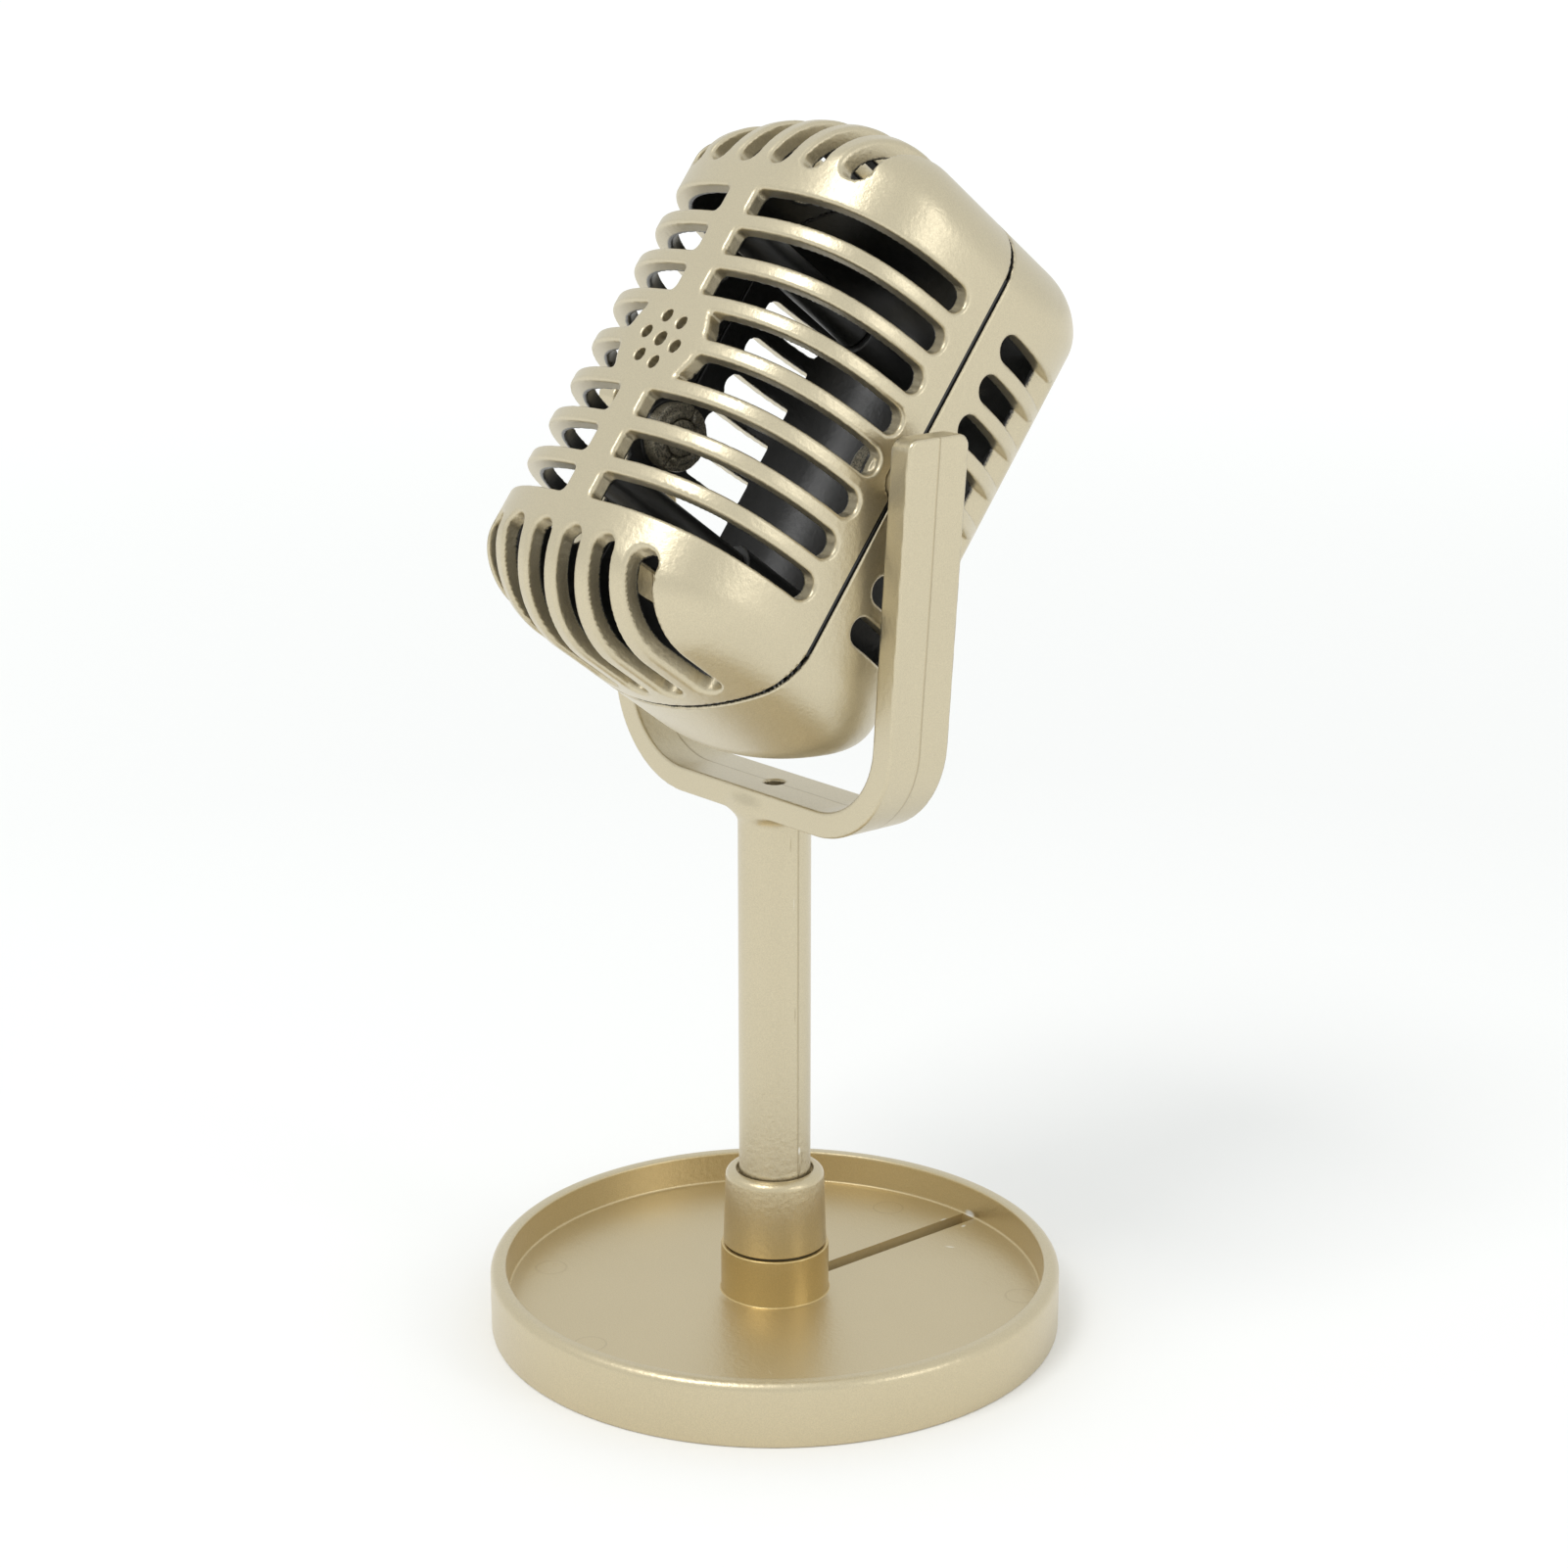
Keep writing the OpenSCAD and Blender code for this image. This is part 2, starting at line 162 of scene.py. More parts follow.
def sprayed_gold_group():
    """The look of sprayed metallic paint: colour, roughness and a fine orange-peel surface."""
    tree = bpy.data.node_groups.new("sprayed_gold", "ShaderNodeTree")
    for socket in ("Painted", "Deep", "Mould line", "Worn"):
        tree.interface.new_socket(socket, in_out="INPUT", socket_type="NodeSocketFloat")
    for socket, kind in (("Color", "NodeSocketColor"), ("Metallic", "NodeSocketFloat"),
                         ("Roughness", "NodeSocketFloat"), ("Normal", "NodeSocketVector")):
        tree.interface.new_socket(socket, in_out="OUTPUT", socket_type=kind)
    given = node(tree, "NodeGroupInput", (-1200, 0))
    result = node(tree, "NodeGroupOutput", (900, 0))
    where = node(tree, "ShaderNodeTexCoord", (-1200, -400))
    flakes = node(tree, "ShaderNodeTexNoise", (-900, 300),
                  inputs={"Scale": 5200.0, "Detail": 2.0, "Roughness": 0.7})
    clouds = node(tree, "ShaderNodeTexNoise", (-900, 0),
                  inputs={"Scale": 38.0, "Detail": 3.0, "Roughness": 0.55})
    peel = node(tree, "ShaderNodeTexNoise", (-900, -300),
                inputs={"Scale": 1150.0, "Detail": 2.0, "Roughness": 0.5})
    grain = node(tree, "ShaderNodeTexNoise", (-900, -600),
                 inputs={"Scale": 3600.0, "Detail": 1.0, "Roughness": 0.5})
    for texture in (flakes, clouds, peel, grain):
        tree.links.new(where.outputs["Object"], texture.inputs["Vector"])

    # Colour: warm gold with faint clouds and a salt of brighter flakes, mixed towards a deeper, browner gold
    # by the 'Deep' input, which is painted reflection of gold on gold in hollows.
    tone = node(tree, "ShaderNodeMix", (-600, 100), data_type="RGBA",
                inputs={6: (0.592, 0.522, 0.366, 1), 7: (0.648, 0.572, 0.404, 1)})
    tree.links.new(clouds.outputs["Fac"], tone.inputs[0])
    salt = node(tree, "ShaderNodeMapRange", (-600, 350),
                inputs={"From Min": 0.35, "From Max": 0.75, "To Min": 0.93, "To Max": 1.10})
    tree.links.new(flakes.outputs["Fac"], salt.inputs["Value"])
    gold = node(tree, "ShaderNodeVectorMath", (-350, 200), operation="SCALE")
    reflected_gold_mix = node(tree, "ShaderNodeMix", (-480, 100), data_type="RGBA",
                inputs={7: (0.600, 0.450, 0.195, 1)})
    tree.links.new(given.outputs["Deep"], reflected_gold_mix.inputs[0])
    tree.links.new(tone.outputs[2], reflected_gold_mix.inputs[6])
    tree.links.new(reflected_gold_mix.outputs[2], gold.inputs[0])
    tree.links.new(salt.outputs["Result"], gold.inputs["Scale"])
    line = node(tree, "ShaderNodeMix", (-100, 200), data_type="RGBA",
                inputs={7: (0.36, 0.28, 0.15, 1)})
    weak_line = node(tree, "ShaderNodeMath", (-350, 0), operation="MULTIPLY", inputs={1: 0.45})
    tree.links.new(given.outputs["Mould line"], weak_line.inputs[0])
    tree.links.new(weak_line.outputs[0], line.inputs[0])
    tree.links.new(gold.outputs[0], line.inputs[6])

    # Where the spray thins out, specks of gold lie on the bare black plastic.
    specks = node(tree, "ShaderNodeMath", (-350, -200), operation="SUBTRACT", inputs={1: 0.5})
    tree.links.new(grain.outputs["Fac"], specks.inputs[0])
    ragged = node(tree, "ShaderNodeMath", (-100, -200), operation="MULTIPLY_ADD", inputs={1: 0.5})
    tree.links.new(specks.outputs[0], ragged.inputs[0])
    tree.links.new(given.outputs["Painted"], ragged.inputs[2])
    cover = node(tree, "ShaderNodeMapRange", (150, -200), interpolation_type="SMOOTHSTEP",
                 inputs={"From Min": 0.25, "From Max": 0.75})
    tree.links.new(ragged.outputs[0], cover.inputs["Value"])
    final = node(tree, "ShaderNodeMix", (400, 200), data_type="RGBA",
                 inputs={6: (0.009, 0.009, 0.008, 1)})
    tree.links.new(cover.outputs["Result"], final.inputs[0])
    tree.links.new(line.outputs[2], final.inputs[7])
    pale = node(tree, "ShaderNodeMix", (650, 200), data_type="RGBA", inputs={7: (0.86, 0.84, 0.78, 1)})
    tree.links.new(given.outputs["Worn"], pale.inputs[0])
    tree.links.new(final.outputs[2], pale.inputs[6])
    tree.links.new(pale.outputs[2], result.inputs["Color"])
    metal = node(tree, "ShaderNodeMath", (400, 0), operation="MULTIPLY", inputs={1: 0.92})
    tree.links.new(cover.outputs["Result"], metal.inputs[0])
    dull = node(tree, "ShaderNodeMath", (650, 0), operation="SUBTRACT", use_clamp=True)
    tree.links.new(metal.outputs[0], dull.inputs[0])
    tree.links.new(given.outputs["Worn"], dull.inputs[1])
    tree.links.new(dull.outputs[0], result.inputs["Metallic"])

    # Roughness: satin, a little livelier in the flakes.
    satin = node(tree, "ShaderNodeMapRange", (400, -150),
                 inputs={"From Min": 0.3, "From Max": 0.7, "To Min": 0.345, "To Max": 0.415})
    tree.links.new(grain.outputs["Fac"], satin.inputs["Value"])
    tree.links.new(satin.outputs["Result"], result.inputs["Roughness"])

    # Surface: soft orange peel, fine grain, and the raised mould line.
    waves = node(tree, "ShaderNodeBump", (150, -450), inputs={"Strength": 0.34, "Distance": 0.00018})
    tree.links.new(peel.outputs["Fac"], waves.inputs["Height"])
    fine = node(tree, "ShaderNodeBump", (400, -450), inputs={"Strength": 0.30, "Distance": 0.00006})
    tree.links.new(grain.outputs["Fac"], fine.inputs["Height"])
    tree.links.new(waves.outputs["Normal"], fine.inputs["Normal"])
    ridge = node(tree, "ShaderNodeBump", (650, -450), inputs={"Strength": 0.5, "Distance": 0.00012})
    tree.links.new(given.outputs["Mould line"], ridge.inputs["Height"])
    tree.links.new(fine.outputs["Normal"], ridge.inputs["Normal"])
    tree.links.new(ridge.outputs["Normal"], result.inputs["Normal"])
    return tree


def gold_paint(name):
    """A material of sprayed gold that follows the piece's own 'painted', 'deep' (painted reflection) and
    'worn' attributes.
    """
    paint = bpy.data.materials.new(name)
    paint.use_nodes = True
    tree = paint.node_tree
    shader = tree.nodes["Principled BSDF"]
    shader.inputs["Coat Weight"].default_value = 0.5
    shader.inputs["Coat Roughness"].default_value = 0.32
    spray = node(tree, "ShaderNodeGroup", (-300, 0), node_tree=sprayed_gold)
    for socket, height in (("Painted", 0), ("Deep", -200), ("Worn", -400)):
        amount = node(tree, "ShaderNodeAttribute", (-600, height), attribute_name=socket.lower())
        tree.links.new(amount.outputs["Fac"], spray.inputs[socket])
    tree.links.new(spray.outputs["Color"], shader.inputs["Base Color"])
    for socket in ("Metallic", "Roughness", "Normal"):
        tree.links.new(spray.outputs[socket], shader.inputs[socket])
    return paint


def set_painted(mesh, amounts, name="painted", domain="POINT"):
    """Writes how much spray reached each vertex or face, from 0 to 1, or how worn it is, or how much painted
    reflection deepens its gold.
    """
    mesh.attributes.new(name, "FLOAT", domain).data.foreach_set("value", amounts)


def marks(paint, socket, spots, ring=False):
    """Adds small scratches, chips or ring-shaped tool marks, each with its middle and half sizes in
    millimetres and its turn in degrees, and sends the strongest to an input of the paint."""
    tree = paint.node_tree
    spray = next(n for n in tree.nodes if n.type == "GROUP")
    where = node(tree, "ShaderNodeTexCoord", (-1900, -600))
    last = spray.inputs[socket].links[0].from_node if spray.inputs[socket].is_linked else None
    for k, (middle, reach, turn, strength) in enumerate(spots):
        frame_in = node(tree, "ShaderNodeMapping", (-1700, -600 - 300 * k), vector_type="TEXTURE", inputs={
            "Location": [v / 1000 for v in middle], "Scale": [v / 1000 for v in reach],
            "Rotation": (0, 0, math.radians(turn))})
        tree.links.new(where.outputs["Object"], frame_in.inputs["Vector"])
        away = node(tree, "ShaderNodeVectorMath", (-1500, -600 - 300 * k), operation="LENGTH")
        tree.links.new(frame_in.outputs["Vector"], away.inputs[0])
        if ring:
            on_ring = node(tree, "ShaderNodeMath", (-1400, -600 - 300 * k), operation="COMPARE",
                           inputs={1: 1.0, 2: 0.07})
            fade = node(tree, "ShaderNodeMath", (-1200, -600 - 300 * k), operation="MULTIPLY",
                        inputs={1: strength})
            tree.links.new(away.outputs["Value"], on_ring.inputs[0])
            tree.links.new(on_ring.outputs[0], fade.inputs[0])
        else:
            fade = node(tree, "ShaderNodeMapRange", (-1200, -600 - 300 * k), interpolation_type="SMOOTHSTEP",
                        inputs={"From Min": 0.35, "From Max": 1.0, "To Min": strength, "To Max": 0.0})
            tree.links.new(away.outputs["Value"], fade.inputs["Value"])
        if last:
            most = node(tree, "ShaderNodeMath", (-1000, -600 - 300 * k), operation="MAXIMUM")
            tree.links.new(last.outputs["Fac" if last.type == "ATTRIBUTE" else 0], most.inputs[0])
            tree.links.new(fade.outputs[0], most.inputs[1])
            last = most
        else:
            last = fade
    tree.links.new(last.outputs[0], spray.inputs[socket])


sprayed_gold = sprayed_gold_group()
plain_paint = gold_paint("champagne_paint")

rim_out, rim_in, rim_top, floor_top, floor_under = 47.5, 44.8, 10.7, 5.0, 3.0
hub, hub_top, spigot_bore = 9.0, 13.3, 6.45
dish_outline = (
    [(rim_in, 0.35), (rim_in + 0.35, 0.0)]
    + corner((rim_out - 0.4, 0.4), 0.4, -90, 0, 4)
    + corner((rim_out - 1.5, rim_top - 1.5), 1.5, 0, 90, 10)
    + corner((rim_in + 0.55, rim_top - 0.55), 0.55, 90, 180, 6)
    + corner((rim_in - 0.45, floor_top + 0.45), 0.45, 0, -90, 5)
    + [(rim_in - 1.6, floor_top), (hub + 1.2, floor_top)]
    + corner((hub + 0.3, floor_top + 0.3), 0.3, -90, -180, 4)
    + corner((hub - 0.25, hub_top - 0.25), 0.25, 0, 90, 4)
    + [(spigot_bore, hub_top), (spigot_bore, 7.0), (2.3, 7.0), (2.3, 4.5), (5.1, 4.5), (5.1, 0.8)]
    + [(hub, 0.8), (hub, floor_under), (rim_in, floor_under)])
dish_mesh = lathe("base_dish_looks", dish_outline)
base_dish = link("base_dish_looks", dish_mesh, "base", "satin_gold", "base_dish")

# The slot is cut through the floor from the hub to the rim, with its ends just short of both.
slot_half, slot_from, slot_to = 1.5, 9.25, 44.55
cutter_mesh = bpy.data.meshes.new("slot_cutter")
cutter_places = [(x / 1000, y / 1000, z / 1000)
                 for z in (1.0, 7.0)
                 for x, y in ((-slot_half, slot_from), (slot_half, slot_from),
                              (slot_half, slot_to), (-slot_half, slot_to))]
cutter_mesh.from_pydata(cutter_places, [], [(3, 2, 1, 0), (4, 5, 6, 7), (0, 1, 5, 4),
                                            (1, 2, 6, 5), (2, 3, 7, 6), (3, 0, 4, 7)])
cutter = bpy.data.objects.new("slot_cutter", cutter_mesh)
bpy.context.scene.collection.objects.link(cutter)
cut = base_dish.modifiers.new("slot", "BOOLEAN")
cut.object = cutter
cut.operation = "DIFFERENCE"
cut.solver = "EXACT"
cut_mesh = bpy.data.meshes.new_from_object(base_dish.evaluated_get(bpy.context.evaluated_depsgraph_get()))
base_dish.modifiers.clear()
base_dish.data = cut_mesh
bpy.data.objects.remove(cutter)
shade_by_angle(cut_mesh, 40)
heights = np.empty(len(cut_mesh.vertices) * 3)
cut_mesh.vertices.foreach_get("co", heights)
heights = heights.reshape(-1, 3) * 1000
under = (heights[:, 2] < floor_under + 0.1) & (np.hypot(heights[:, 0], heights[:, 1]) < rim_in + 0.1)
set_painted(cut_mesh, np.where(under, 0.15, 1.0))
# Painted reflection: 'deep' browns the gold fully on the hub, less at the rim's inner foot, less again on the
# floor, and least outside.
around = np.hypot(heights[:, 0], heights[:, 1])
deep = np.where(around > rim_in + 0.1, 0.15, 0.32)
deep[(around > rim_in - 0.6) & (around < rim_in + 0.1) & (heights[:, 2] > floor_top)] = 0.6
deep[around < hub + 0.2] = 1.0
set_painted(cut_mesh, deep, "deep")
middles, facing = np.empty(len(cut_mesh.polygons) * 3), np.empty(len(cut_mesh.polygons) * 3)
cut_mesh.polygons.foreach_get("center", middles)
cut_mesh.polygons.foreach_get("normal", facing)
middles, facing = middles.reshape(-1, 3) * 1000, facing.reshape(-1, 3)
slot_wall = ((np.abs(middles[:, 0]) < slot_half + 0.1) & (middles[:, 1] > slot_from - 0.1)
             & (middles[:, 1] < slot_to + 0.1) & (np.abs(facing[:, 2]) < 0.3)
             & (middles[:, 2] < floor_top + 0.05))
cut_mesh.materials.clear()

# Marks of use and of the mould on the floor: faint ejector rings, and chips at the slot's outer end.
dish_paint = gold_paint("champagne_paint_dish")
ejector = (2.6, 2.6, 9)
marks(dish_paint, "Mould line", [
    ((-11.8, 36.1, 5), ejector, 0, 0.5), ((-30.0, -24.6, 5), ejector, 0, 0.45),
    ((-2.4, -36.8, 5), ejector, 0, 0.45), ((29.4, 28.9, 5), ejector, 0, 0.5)], ring=True)
marks(dish_paint, "Worn", [
    ((0.2, 44.7, 5.5), (1.5, 0.6, 0.8), 0, 0.95), ((2.6, 41.0, 5.0), (0.4, 0.8, 0.3), 10, 0.8),
    ((-1.7, 40.2, 5.0), (0.35, 0.9, 0.3), 0, 0.7), ((7.5, 33.2, 5.0), (1.1, 0.3, 0.3), 35, 0.7),
    ((-19.0, 20.0, 5.0), (1.6, 0.10, 0.3), 60, 0.35), ((24.0, -21.0, 5.0), (1.3, 0.10, 0.3), -25, 0.3)])
cut_mesh.materials.append(dish_paint)

# Painted light: the slot's narrow walls get a browner, less metallic copy of the paint, so they show a lit
# gold-brown instead of mirroring the dark under the floor.
wall_paint = gold_paint("champagne_paint_slot_wall")
wall_tree = wall_paint.node_tree
wall_shader = wall_tree.nodes["Principled BSDF"]
wall_spray = next(n for n in wall_tree.nodes if n.type == "GROUP")
for fed in (wall_shader.inputs["Metallic"], wall_shader.inputs["Base Color"], wall_spray.inputs["Painted"]):
    wall_tree.links.remove(fed.links[0])
wall_shader.inputs["Metallic"].default_value = 0.3
wall_spray.inputs["Painted"].default_value = 1.0
painted_light_brown = node(wall_tree, "ShaderNodeMix", (-100, 300), data_type="RGBA",
             inputs={0: 0.55, 7: (0.62, 0.43, 0.15, 1)})
wall_tree.links.new(wall_spray.outputs["Color"], painted_light_brown.inputs[6])
wall_tree.links.new(painted_light_brown.outputs[2], wall_shader.inputs["Base Color"])
cut_mesh.materials.append(wall_paint)
cut_mesh.polygons.foreach_set("material_index", slot_wall.astype(int))


# ---------------------------------------------------------------------------
# Stem foot.  A slightly tapered moulded collar pressed into the hub ring; the
# stem turns inside it, with an open dark groove round the stem at its mouth.
stem = 5.95
foot_low, foot_high = 13.3, 26.6
foot_outline = (
    [(2.3, 7.0), (6.4, 7.0), (6.4, foot_low), (8.1, foot_low), (8.1, foot_low + 0.32)]
    + corner((8.4, foot_low + 0.52), 0.2, -90, 0, 3)
    + corner((stem + 2.25 - 1.3, foot_high - 1.3), 1.3, 0, 90, 10)
    + corner((stem + 0.45 + 0.2, foot_high - 0.2), 0.2, 90, 180, 4)
    + [(stem + 0.45, foot_high - 1.2), (stem + 0.06, foot_high - 1.2), (stem + 0.06, 16.3), (2.3, 16.3)])
foot_mesh = lathe("stem_foot_looks", foot_outline, 192)
link("stem_foot_looks", foot_mesh, "base", "satin_gold", "stem_foot")
shade_by_angle(foot_mesh, 40)
reached = [1.0 if (r > 8.15 and z > foot_low + 0.3) or z > foot_high - 1.31 else 0.05
           for r, z in foot_outline] * 192
set_painted(foot_mesh, reached)
# Painted reflection: the foot's gold is deeper at its bottom, down in the dish, and fades towards its top.
set_painted(foot_mesh, [0.55 - 0.35 * min(max((z - foot_low) / (foot_high - foot_low), 0), 1)
                        for r, z in foot_outline] * 192, "deep")
foot_mesh.materials.append(plain_paint)


# ---------------------------------------------------------------------------
# Yoke and stem.  One moulding: a round stem that runs into a flat bar, bent up
# into two legs that lean outward, with a round peg inside each leg's end.
def surface_net(field, low, high, step):
    """Meshes the surface where a field in millimetres is zero (it is negative inside the solid).
    Returns the points, the quads facing outward, and the surface's true normal at each point."""
    low = np.array(low, float)
    axes = [np.arange(a, b + step, step) for a, b in zip(low, high)]
    value = field(*np.meshgrid(*axes, indexing="ij"))
    solid = value < 0
    cells = tuple(n - 1 for n in value.shape)
    filled = np.zeros(cells, np.int8)
    for o in product((0, 1), repeat=3):
        filled += solid[o[0]:o[0] + cells[0], o[1]:o[1] + cells[1], o[2]:o[2] + cells[2]]
    crossed = (filled > 0) & (filled < 8)
    number = np.full(cells, -1)
    number[crossed] = np.arange(crossed.sum())
    start = np.argwhere(crossed)
    place, hits = np.zeros((len(start), 3)), np.zeros((len(start), 1))
    for axis in range(3):
        for o in product((0, 1), repeat=2):
            a = start.copy()
            a[:, (axis + 1) % 3] += o[0]
            a[:, (axis + 2) % 3] += o[1]
            b = a.copy()
            b[:, axis] += 1
            from_value, to_value = value[tuple(a.T)], value[tuple(b.T)]
            through = (from_value < 0) != (to_value < 0)
            point = a[through].astype(float)
            point[:, axis] += from_value[through] / (from_value[through] - to_value[through])
            place[through] += point
            hits[through] += 1
    points = low + step * place / hits

    quads = []
    for axis in range(3):
        a, b = (axis + 1) % 3, (axis + 2) % 3
        first = np.take(solid, range(cells[axis]), axis)
        second = np.take(solid, range(1, cells[axis] + 1), axis)
        edge = np.argwhere(first != second)
        inner = (edge[:, a] > 0) & (edge[:, b] > 0) & (edge[:, a] < cells[a]) & (edge[:, b] < cells[b])
        edge = edge[inner]
        around = []
        for back_a, back_b in ((1, 1), (0, 1), (0, 0), (1, 0)):
            cell = edge.copy()
            cell[:, a] -= back_a
            cell[:, b] -= back_b
            around.append(number[tuple(cell.T)])
        quad = np.stack(around, 1)
        inward = ~first[tuple(edge.T)]
        quad[inward] = quad[inward][:, ::-1]
        quads.append(quad)
    quads = np.concatenate(quads)

    def slope(at, reach):
        parts = []
        for axis in range(3):
            ahead, behind = at.copy(), at.copy()
            ahead[:, axis] += reach
            behind[:, axis] -= reach
            parts.append((field(*ahead.T) - field(*behind.T)) / (2 * reach))
        return np.stack(parts, 1)

    for _ in range(5):
        steep = slope(points, 0.02)
        move = field(*points.T)[:, None] * steep / np.maximum((steep ** 2).sum(1, keepdims=True), 0.05)
        length = np.linalg.norm(move, axis=1, keepdims=True)
        points = points - move * np.minimum(1, 0.5 * step / np.maximum(length, 1e-9))
    normals = slope(points, 0.06)
    normals /= np.maximum(np.linalg.norm(normals, axis=1, keepdims=True), 1e-9)
    return points, quads, normals


def net_mesh(name, points, quads, normals):
    """A Blender mesh of that surface, shaded with its true normals."""
    mesh = bpy.data.meshes.new(name)
    mesh.from_pydata((points / 1000).tolist(), [], quads.tolist())
    mesh.polygons.foreach_set("use_smooth", [True] * len(mesh.polygons))
    mesh.normals_split_custom_set_from_vertices(normals.tolist())
    return mesh


def meet(a, b, radius):
    """The space inside both fields, with the edge where they meet rounded over."""
    return (np.hypot(np.maximum(a + radius, 0), np.maximum(b + radius, 0)) - radius
            + np.minimum(np.maximum(a + radius, b + radius), 0))


def join(a, b, radius):
    """The space inside either field, with a fillet in the corner between them."""
    return -meet(-a, -b, radius)


bar_low, bar_high, leg_high, pivot = 88.8, 93.0, 153.3, 145.517
bend, splay = 13.6, math.radians(4.3)
bend_x = 29.5 + 0.6 - bend * math.cos(splay)
bend_z = bar_high + bend
band_half, band_round, peg_half, core_half = 2.1, 2.0, 3.0, 1.7


def yoke_field(x, y, z):
    ax, ay = np.abs(x), np.abs(y)
    across, along = ax - bend_x, z - bend_z
    radius = bend + band_half
    out = across * math.cos(splay) - along * math.sin(splay)
    up = across * math.sin(splay) + along * math.cos(splay)
    band = np.where(up > 0, out - radius, np.hypot(across, along) - radius)
    band = np.where((across < 0) & (along < 0), -along - radius, band)
    band = np.where((across < 0) & (along >= 0), 50.0, band)
    strip = np.abs(band) - band_half
    side_y, side_z = ay - (stem - band_round), z - (leg_high - band_round)
    sides = (np.hypot(np.maximum(side_y, 0), np.maximum(side_z, 0))
             + np.minimum(np.maximum(side_y, side_z), 0) - band_round)
    arms = meet(strip, sides, 0.45)
    round_stem = meet(np.hypot(x, y) - (stem - 0.03), np.maximum(16.6 - z, z - (bar_low + 1.5)), 0.3)
    solid = join(arms, round_stem, 2.4)
    solid = np.where(z > bar_high - 0.5, np.minimum(solid, arms), solid)
    peg = meet(np.hypot(y, z - pivot) - peg_half, np.maximum(22.9 - ax, ax - 34.0), 0.35)
    solid = join(solid, peg, 0.4)
    return meet(solid, core_half - np.hypot(x, y), 0.25)


yoke_mesh = net_mesh("yoke_looks", *surface_net(yoke_field, (-39, -7, 15.5), (39, 7, 155), 0.42))
link("yoke_looks", yoke_mesh, "stand", "satin_gold", "yoke_stem")
yoke_places = np.empty(len(yoke_mesh.vertices) * 3)
yoke_mesh.vertices.foreach_get("co", yoke_places)
yoke_places = yoke_places.reshape(-1, 3) * 1000
# The pegs, inside the head, get only about half the gold, so they look darker and mottled.
on_peg = (np.abs(yoke_places[:, 0]) < 25.5) & (yoke_places[:, 2] > pivot - 4)
set_painted(yoke_mesh, np.where(on_peg, 0.46, 1.0))

# The two halves of the mould met on the plane through the legs: a faint raised line follows it.
yoke_paint = gold_paint("champagne_paint_mould_line")
yoke_tree = yoke_paint.node_tree
yoke_where = node(yoke_tree, "ShaderNodeTexCoord", (-1500, -300))
yoke_axes = node(yoke_tree, "ShaderNodeSeparateXYZ", (-1300, -300))
yoke_tree.links.new(yoke_where.outputs["Object"], yoke_axes.inputs[0])
wander = node(yoke_tree, "ShaderNodeTexNoise", (-1300, -500), inputs={"Scale": 60.0, "Detail": 2.0})
yoke_tree.links.new(yoke_where.outputs["Object"], wander.inputs["Vector"])
off_line = node(yoke_tree, "ShaderNodeMath", (-1100, -300), operation="MULTIPLY_ADD", inputs={1: 0.0003})
yoke_tree.links.new(wander.outputs["Fac"], off_line.inputs[0])
yoke_tree.links.new(yoke_axes.outputs["Y"], off_line.inputs[2])
shifted = node(yoke_tree, "ShaderNodeMath", (-950, -300), operation="SUBTRACT", inputs={1: 0.00015})
yoke_tree.links.new(off_line.outputs[0], shifted.inputs[0])
distance = node(yoke_tree, "ShaderNodeMath", (-800, -300), operation="ABSOLUTE")
yoke_tree.links.new(shifted.outputs[0], distance.inputs[0])
mould_line = node(yoke_tree, "ShaderNodeMapRange", (-600, -300), interpolation_type="SMOOTHSTEP",
                  inputs={"From Min": 0.00008, "From Max": 0.00026, "To Min": 1.0, "To Max": 0.0})
yoke_tree.links.new(distance.outputs[0], mould_line.inputs["Value"])
yoke_spray = next(n for n in yoke_tree.nodes if n.type == "GROUP")
yoke_tree.links.new(mould_line.outputs["Result"], yoke_spray.inputs["Mould line"])

# Handling marks: dark rubs on the stem above the foot's mouth, and pale scuffs on the stem and one leg.
def on_stem(turn, height):
    return stem * math.cos(math.radians(turn)), stem * math.sin(math.radians(turn)), height


marks(yoke_paint, "Mould line", [
    (on_stem(4, 28.2), (0.9, 0.30, 1.3), 4, 1.0), (on_stem(9, 30.0), (0.9, 0.22, 1.9), 9, 1.0),
    (on_stem(-6, 55), (0.8, 0.18, 1.8), -6, 0.8), (on_stem(-14, 84), (0.8, 0.16, 1.6), -14, 0.9)])
marks(yoke_paint, "Worn", [
    (on_stem(3, 31.2), (0.8, 0.32, 0.9), 3, 0.8), (on_stem(-8, 74), (1.2, 0.10, 1.4), -8, 0.35),
    ((32.9, -5.6, 128.0), (1.6, 0.16, 0.9), 0, 0.4), ((33.4, 1.4, 118.0), (1.8, 0.5, 0.12), 0, 0.4)])
yoke_mesh.materials.append(yoke_paint)


# ---------------------------------------------------------------------------
# Front shell.  A deep half shell moulded in black plastic and sprayed gold
# from outside: crowned top and bottom, side slots, end slots and seven holes.
head_lift, lean = 2.9, math.radians(37)
half_wide, half_high, depth, wall = 29.5, 46.6, 29.9, 2.8
edge, crown, round_corner, bulge = 16.5, 49.0, 11.5, 2.95


